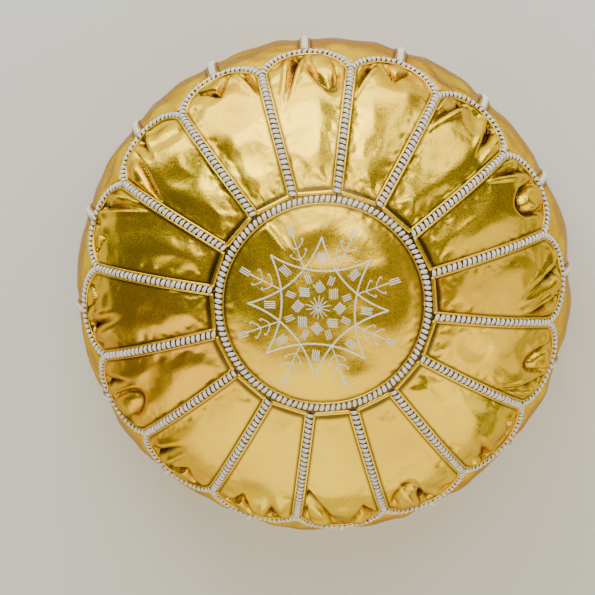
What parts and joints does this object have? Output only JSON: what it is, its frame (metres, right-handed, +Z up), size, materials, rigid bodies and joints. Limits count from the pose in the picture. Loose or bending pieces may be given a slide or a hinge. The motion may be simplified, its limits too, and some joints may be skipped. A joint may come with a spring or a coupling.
{
  "type": "leather pouf",
  "caption": "Round stuffed leather pouf with a petal-patterned top, an embroidered medallion, panelled sides, hand-stitched seams and a zip in its base.",
  "frame": {"origin": "centre of the flat base, on the floor", "axes": "+Z up through the medallion; +X along the zip, from its closed end to its open end"},
  "size_m": [0.525, 0.525, 0.3308],
  "materials": {
    "gold_leather": "gloss",
    "base_leather": "satin",
    "seam_thread": "matte",
    "embroidery_thread": "satin",
    "cotton_lining": "matte",
    "fibre_filling": "matte",
    "zip_tape": "matte",
    "zip_coil": "satin",
    "zip_metal": "satin"
  },
  "bodies": {
    "pouf": {"top_medallion": "gold_leather", "top_petal_01": "gold_leather", "top_petal_02": "gold_leather", "top_petal_03": "gold_leather", "top_petal_04": "gold_leather", "top_petal_05": "gold_leather", "top_petal_06": "gold_leather", "top_petal_07": "gold_leather", "top_petal_08": "gold_leather", "top_petal_09": "gold_leather", "top_petal_10": "gold_leather", "top_petal_11": "gold_leather", "top_petal_12": "gold_leather", "top_petal_13": "gold_leather", "top_petal_14": "gold_leather", "top_petal_15": "gold_leather", "top_petal_16": "gold_leather", "side_panel_01": "gold_leather", "side_panel_02": "gold_leather", "side_panel_03": "gold_leather", "side_panel_04": "gold_leather", "side_panel_05": "gold_leather", "side_panel_06": "gold_leather", "side_panel_07": "gold_leather", "side_panel_08": "gold_leather", "side_panel_09": "gold_leather", "side_panel_10": "gold_leather", "side_panel_11": "gold_leather", "side_panel_12": "gold_leather", "side_panel_13": "gold_leather", "side_panel_14": "gold_leather", "side_panel_15": "gold_leather", "side_panel_16": "gold_leather", "base_panel_back": "base_leather", "base_panel_front": "base_leather", "zip_end_strip_right": "base_leather", "zip_end_strip_left": "base_leather", "medallion_seam_thread": "seam_thread", "petal_seam_thread": "seam_thread", "scallop_seam_thread": "seam_thread", "side_seam_thread": "seam_thread", "base_seam_thread": "seam_thread", "medallion_embroidery": "embroidery_thread", "inner_lining": "cotton_lining", "stuffing": "fibre_filling", "zip_tape_back": "zip_tape", "zip_tape_front": "zip_tape", "zip_coil_back": "zip_coil", "zip_coil_front": "zip_coil", "zip_end_stops": "zip_metal"},
    "zip_slider": {"zip_slider": "zip_metal"},
    "zip_pull_tab": {"zip_pull_tab": "zip_metal"}
  },
  "joints": [
    {"name": "zip_slide", "type": "slide", "parent": "pouf", "child": "zip_slider", "axis": [1, 0, 0], "range_m": [0, 0.312]},
    {"name": "pull_tab_swing", "type": "hinge", "parent": "zip_slider", "child": "zip_pull_tab", "pos_m": [-0.158, 0, 0.0025], "axis": [0, 1, 0], "range_deg": [0, 180]}
  ]
}
